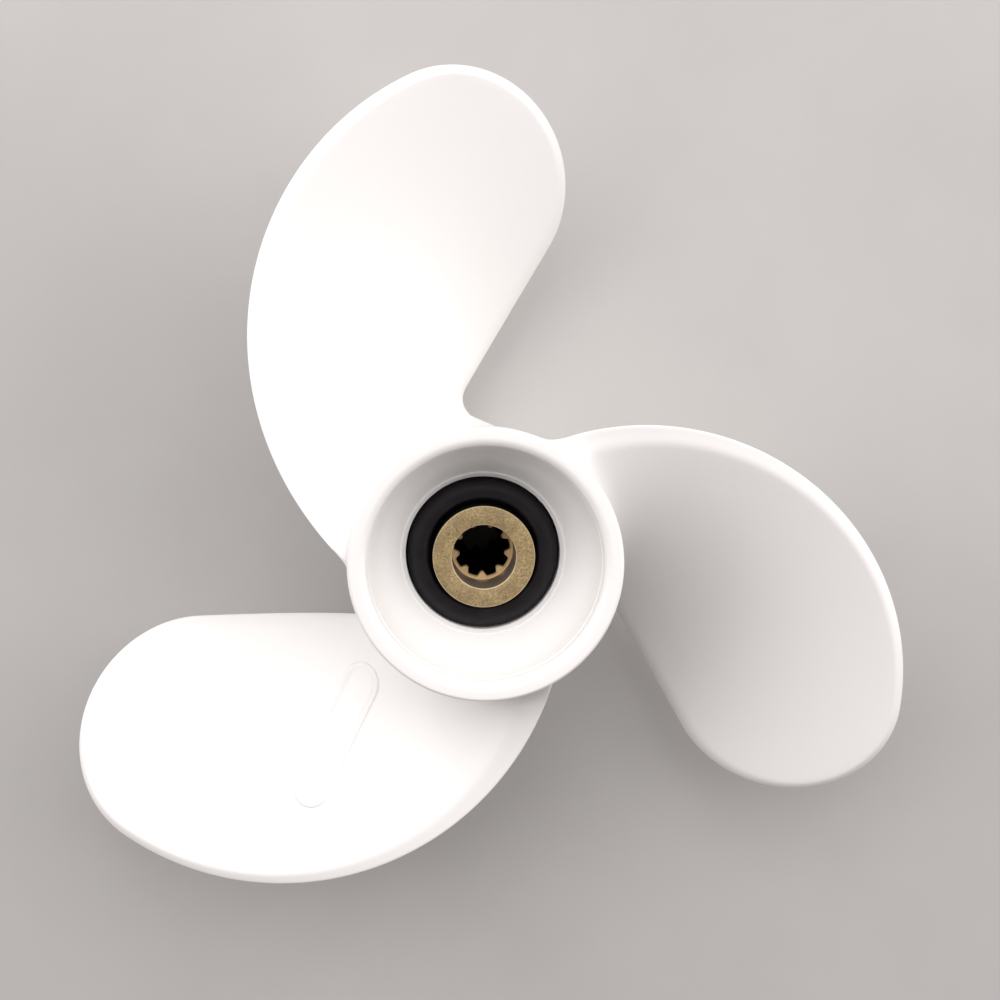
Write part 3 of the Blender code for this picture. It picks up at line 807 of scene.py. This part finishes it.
bpy.ops.object.mode_set(mode="OBJECT")
bpy.ops.object.shade_smooth_by_angle(angle=CASTING_SMOOTH_ANGLE)

PAINT_WHITE = (0.91, 0.90, 0.892, 1.0)
PAINT_SHADE = (0.906, 0.896, 0.888, 1.0)
PAINT_ROUGHNESS = (0.285, 0.32)
GRIT_GRAIN = (1700.0, 4.0, 0.3, 0.7)
PEEL_GRAIN = (620.0, 1.0, 0.25, 0.75)
PEEL_RELIEF = (0.06, 0.02 * MM)


def paint_finish():
    """White enamel with a trace of grit in its colour and a faint orange peel."""
    finish, nodes, links, shader = new_finish("white enamel")
    grit = grain(nodes, *GRIT_GRAIN)
    peel = grain(nodes, *PEEL_GRAIN)
    links.new(colour_mix(nodes, links, grit.outputs["Mask"], PAINT_WHITE, PAINT_SHADE),
              shader.inputs["Base Color"])
    links.new(value_range(nodes, links, peel.outputs["Mask"], *PAINT_ROUGHNESS),
              shader.inputs["Roughness"])
    links.new(bump(nodes, links, peel.outputs["Height"], *PEEL_RELIEF), shader.inputs["Normal"])
    return finish


# Joining the blades leaves an empty material slot, which is cleared first
PAINT = paint_finish()
casting.data.materials.clear()
casting.data.materials.append(PAINT)
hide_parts("propeller_casting")
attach(casting, "propeller")

# Raised panel
# A plain long panel with round ends and a low rounded lip, cast on the front of one blade and painted
# over with the rest of the casting. Its border is sunk into the blade, so it has no gap under it.
PANEL_BLADE = 1
PANEL_RADIUS = 50.0 * MM
PANEL_PLACE = radians(2.5)
PANEL_LEAN = radians(12.4)
PANEL_LENGTH = 30.0 * MM
PANEL_WIDTH = 8.4 * MM
PANEL_HEIGHT = 0.16 * MM
PANEL_LIP_HEIGHT = 0.45 * MM
PANEL_LIP_RISE = (0.0, 0.6 * MM)
PANEL_LIP_FALL = (0.9 * MM, 1.8 * MM)
PANEL_SINK = 0.12 * MM
PANEL_WALL = 0.6 * MM
PANEL_STEPS = (96, 40)
PANEL_SMOOTH_ANGLE = radians(60)

panel_turn = FIRST_BLADE_ANGLE + 2 * pi * PANEL_BLADE / BLADE_COUNT + PANEL_PLACE
panel_middle = heading(panel_turn) * PANEL_RADIUS
panel_along = heading(panel_turn - PANEL_PLACE + PANEL_LEAN)
panel_across = Vector((-panel_along.y, panel_along.x))
panel_round = PANEL_WIDTH / 2
panel_straight = PANEL_LENGTH / 2 - panel_round
painted_shape = BVHTree.FromObject(casting, bpy.context.evaluated_depsgraph_get())

# A grid from -1 to 1 both ways, whose corners are moved to their places on the blade
clear_selection()
bpy.ops.mesh.primitive_grid_add(x_subdivisions=PANEL_STEPS[0], y_subdivisions=PANEL_STEPS[1], size=2,
                                location=(0, 0, 0))
panel = bpy.context.active_object
panel.name = "raised_panel"
for corner in panel.data.vertices:
    along = sin(corner.co.x * pi / 2) * PANEL_LENGTH / 2
    past_straight = max(abs(along) - panel_straight, 0.0)
    across = corner.co.y * sqrt(max(panel_round ** 2 - past_straight ** 2, 0.0))
    border = panel_round - hypot(past_straight, across)
    lip = smooth_step(border, *PANEL_LIP_RISE) * PANEL_LIP_HEIGHT
    lip -= smooth_step(border, *PANEL_LIP_FALL) * (PANEL_LIP_HEIGHT - PANEL_HEIGHT)
    spot = panel_middle + panel_along * along + panel_across * across
    above = Vector((spot.x, spot.y, HUB_LENGTH))
    seat, normal, _, _ = painted_shape.ray_cast(above, Vector((0, 0, -1)))
    corner.co = seat + normal * (lip - PANEL_SINK)
close_and_smooth(PANEL_SMOOTH_ANGLE)
wall = panel.modifiers.new("wall", "SOLIDIFY")
wall.thickness = PANEL_WALL
wall.offset = -1.0
bpy.ops.object.modifier_apply(modifier=wall.name)
panel.data.materials.append(PAINT)
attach(panel, "propeller")

# Floor and studio light
# A plain pale board under the propeller, two large soft lights high up on the upper blade's side, a
# weaker soft light on either hand, and an even, slightly warm surround that fills the shadows.
FLOOR_SIZE = 30.0
FLOOR_PALE = (0.50, 0.49, 0.48, 1.0)
FLOOR_SHADE = (0.47, 0.46, 0.455, 1.0)
FLOOR_ROUGHNESS = 0.7
FLOOR_GRAIN = (9.0, 4.0, 0.35, 0.65)
LIGHT_DISTANCE = 1.0
KEY_LEFT_DIRECTION = Vector((-0.45, 0.6, 0.66))
KEY_LEFT_POWER = 7.9
KEY_RIGHT_DIRECTION = Vector((0.45, 0.6, 0.66))
KEY_RIGHT_POWER = 6.7
KEY_SIZE = 1.2
KEY_COLOUR = (1.0, 0.975, 0.965)
LEFT_DIRECTION = Vector((-0.9, 0.1, 0.43))
LEFT_POWER = 2.2
RIGHT_DIRECTION = Vector((0.9, 0.1, 0.43))
RIGHT_POWER = 3.8
SIDE_SIZE = 0.8
SIDE_COLOUR = (1.0, 0.955, 0.94)
SURROUND_COLOUR = (1.0, 0.935, 0.91, 1.0)
SURROUND_STRENGTH = 0.21

clear_selection()
bpy.ops.mesh.primitive_plane_add(size=FLOOR_SIZE, location=(0, 0, 0))
floor = bpy.context.active_object
floor.name = "floor"


def floor_finish():
    """Matt pale board with a very faint cloudiness."""
    finish, nodes, links, shader = new_finish("pale floor")
    cloud = grain(nodes, *FLOOR_GRAIN)
    links.new(colour_mix(nodes, links, cloud.outputs["Mask"], FLOOR_PALE, FLOOR_SHADE),
              shader.inputs["Base Color"])
    shader.inputs["Roughness"].default_value = FLOOR_ROUGHNESS
    return finish


floor.data.materials.append(floor_finish())


def add_light(name, direction, size, power, colour):
    """A round soft light that faces the middle of the blades."""
    light = bpy.data.objects.new(name, bpy.data.lights.new(name, "AREA"))
    light.data.shape = "DISK"
    light.data.size = size
    light.data.energy = power
    light.data.color = colour
    light.location = direction.normalized() * LIGHT_DISTANCE + Vector((0, 0, BLADE_Z))
    light.rotation_euler = direction.to_track_quat("Z", "Y").to_euler()
    bpy.context.scene.collection.objects.link(light)


add_light("key_left_light", KEY_LEFT_DIRECTION, KEY_SIZE, KEY_LEFT_POWER, KEY_COLOUR)
add_light("key_right_light", KEY_RIGHT_DIRECTION, KEY_SIZE, KEY_RIGHT_POWER, KEY_COLOUR)
add_light("left_light", LEFT_DIRECTION, SIDE_SIZE, LEFT_POWER, SIDE_COLOUR)
add_light("right_light", RIGHT_DIRECTION, SIDE_SIZE, RIGHT_POWER, SIDE_COLOUR)

surround = bpy.data.worlds.new("studio")
surround.use_nodes = True
surround.node_tree.nodes["Background"].inputs["Color"].default_value = SURROUND_COLOUR
surround.node_tree.nodes["Background"].inputs["Strength"].default_value = SURROUND_STRENGTH
bpy.context.scene.world = surround
bpy.context.scene.view_settings.view_transform = "Standard"

# Camera
# It looks almost straight down the shaft at the front of the propeller, a little off to one side.
CAMERA_TILT = radians(6.834)
CAMERA_SWING = radians(3.017)
CAMERA_ROLL = radians(0.183)
CAMERA_OFFSET = Vector((4.04 * MM, 9.04 * MM, 265.24 * MM))
CAMERA_LENS = 46.0
CAMERA_SENSOR = 36.0
CAMERA_NEAR = 10.0 * MM

camera = bpy.data.objects.new("camera", bpy.data.cameras.new("camera"))
camera.data.lens = CAMERA_LENS
camera.data.sensor_width = CAMERA_SENSOR
camera.data.clip_start = CAMERA_NEAR
turn = Matrix.Rotation(CAMERA_TILT, 4, "X") @ Matrix.Rotation(CAMERA_SWING, 4, "Y")
aim = Matrix.Translation((0, 0, BLADE_Z))
roll = Matrix.Rotation(-CAMERA_ROLL, 4, "Z")
camera.matrix_world = aim @ turn.transposed() @ Matrix.Translation(CAMERA_OFFSET) @ roll
bpy.context.scene.collection.objects.link(camera)
bpy.context.scene.camera = camera
